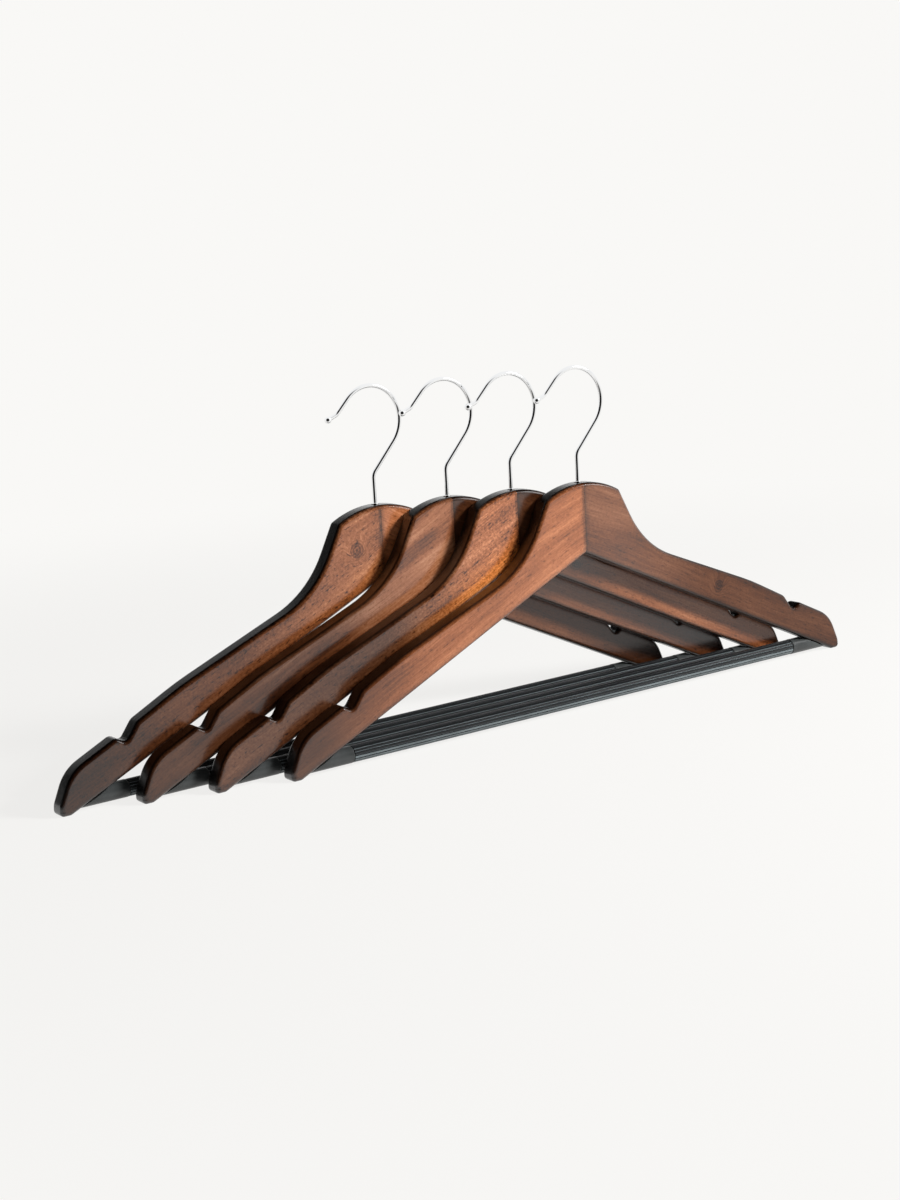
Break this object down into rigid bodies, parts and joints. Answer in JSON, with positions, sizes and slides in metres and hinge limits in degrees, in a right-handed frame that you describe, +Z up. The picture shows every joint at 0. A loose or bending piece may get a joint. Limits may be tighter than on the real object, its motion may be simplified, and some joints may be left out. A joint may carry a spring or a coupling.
{
  "type": "wooden clothes hanger set",
  "caption": "Row of matching flat wooden clothes hangers, each with a swivelling chrome wire hook, strap notches near the tips and a ribbed trouser bar.",
  "frame": {"origin": "bottom centre of the whole row, on the plane that the tips stand on", "axes": "+X along the hangers from their left tips to their right tips, +Y from the front hanger to the rear one, +Z up along the hooks' shanks"},
  "size_m": [0.5782, 0.0494, 0.2195],
  "materials": {
    "lacquered_wood": "reddish-brown satin lacquer over visible grain, darker along the rounded edges",
    "bare_wood": "bare beech, hidden inside",
    "chrome": "bright chrome plate",
    "zinc_steel": "zinc plate, hidden inside",
    "ribbed_vinyl": "charcoal soft vinyl with lengthwise ribs, satin",
    "black_plastic": "smooth black plastic, satin"
  },
  "bodies": {
    "hanger_1": {"hanger_1_left_arm": "lacquered_wood", "hanger_1_right_arm": "lacquered_wood", "hanger_1_upper_mitre_dowel": "bare_wood", "hanger_1_lower_mitre_dowel": "bare_wood", "hanger_1_hook_ferrule": "chrome", "hanger_1_hook_washer": "zinc_steel", "hanger_1_bar_core": "bare_wood", "hanger_1_bar_sleeve": "ribbed_vinyl", "hanger_1_left_bar_end": "black_plastic", "hanger_1_right_bar_end": "black_plastic", "hanger_1_left_bar_pin": "zinc_steel", "hanger_1_right_bar_pin": "zinc_steel"},
    "hook_1": {"hanger_1_hook": "chrome"},
    "hanger_2": {"hanger_2_left_arm": "lacquered_wood", "hanger_2_right_arm": "lacquered_wood", "hanger_2_upper_mitre_dowel": "bare_wood", "hanger_2_lower_mitre_dowel": "bare_wood", "hanger_2_hook_ferrule": "chrome", "hanger_2_hook_washer": "zinc_steel", "hanger_2_bar_core": "bare_wood", "hanger_2_bar_sleeve": "ribbed_vinyl", "hanger_2_left_bar_end": "black_plastic", "hanger_2_right_bar_end": "black_plastic", "hanger_2_left_bar_pin": "zinc_steel", "hanger_2_right_bar_pin": "zinc_steel"},
    "hook_2": {"hanger_2_hook": "chrome"},
    "hanger_3": {"hanger_3_left_arm": "lacquered_wood", "hanger_3_right_arm": "lacquered_wood", "hanger_3_upper_mitre_dowel": "bare_wood", "hanger_3_lower_mitre_dowel": "bare_wood", "hanger_3_hook_ferrule": "chrome", "hanger_3_hook_washer": "zinc_steel", "hanger_3_bar_core": "bare_wood", "hanger_3_bar_sleeve": "ribbed_vinyl", "hanger_3_left_bar_end": "black_plastic", "hanger_3_right_bar_end": "black_plastic", "hanger_3_left_bar_pin": "zinc_steel", "hanger_3_right_bar_pin": "zinc_steel"},
    "hook_3": {"hanger_3_hook": "chrome"},
    "hanger_4": {"hanger_4_left_arm": "lacquered_wood", "hanger_4_right_arm": "lacquered_wood", "hanger_4_upper_mitre_dowel": "bare_wood", "hanger_4_lower_mitre_dowel": "bare_wood", "hanger_4_hook_ferrule": "chrome", "hanger_4_hook_washer": "zinc_steel", "hanger_4_bar_core": "bare_wood", "hanger_4_bar_sleeve": "ribbed_vinyl", "hanger_4_left_bar_end": "black_plastic", "hanger_4_right_bar_end": "black_plastic", "hanger_4_left_bar_pin": "zinc_steel", "hanger_4_right_bar_pin": "zinc_steel"},
    "hook_4": {"hanger_4_hook": "chrome"}
  },
  "joints": [
    {"name": "hook_1_swivel", "type": "hinge", "parent": "hanger_1", "child": "hook_1", "pos_m": [-0.06415, 0.01875, 0.146], "axis": [0, 0, 1], "range_deg": [-8, 130]},
    {"name": "hanger_2_slide", "type": "slide", "parent": "hanger_1", "child": "hanger_2", "axis": [0, -1, 0], "range_m": [0, 0.12]},
    {"name": "hook_2_swivel", "type": "hinge", "parent": "hanger_2", "child": "hook_2", "pos_m": [-0.01915, 0.00625, 0.146], "axis": [0, 0, 1], "range_deg": [-8, 125]},
    {"name": "hanger_3_slide", "type": "slide", "parent": "hanger_2", "child": "hanger_3", "axis": [0, -1, 0], "range_m": [0, 0.12]},
    {"name": "hook_3_swivel", "type": "hinge", "parent": "hanger_3", "child": "hook_3", "pos_m": [0.02085, -0.00625, 0.146], "axis": [0, 0, 1], "range_deg": [-8, 130]},
    {"name": "hanger_4_slide", "type": "slide", "parent": "hanger_3", "child": "hanger_4", "axis": [0, -1, 0], "range_m": [0, 0.12]},
    {"name": "hook_4_swivel", "type": "hinge", "parent": "hanger_4", "child": "hook_4", "pos_m": [0.06415, -0.01875, 0.146], "axis": [0, 0, 1], "range_deg": [-8, 300]}
  ]
}
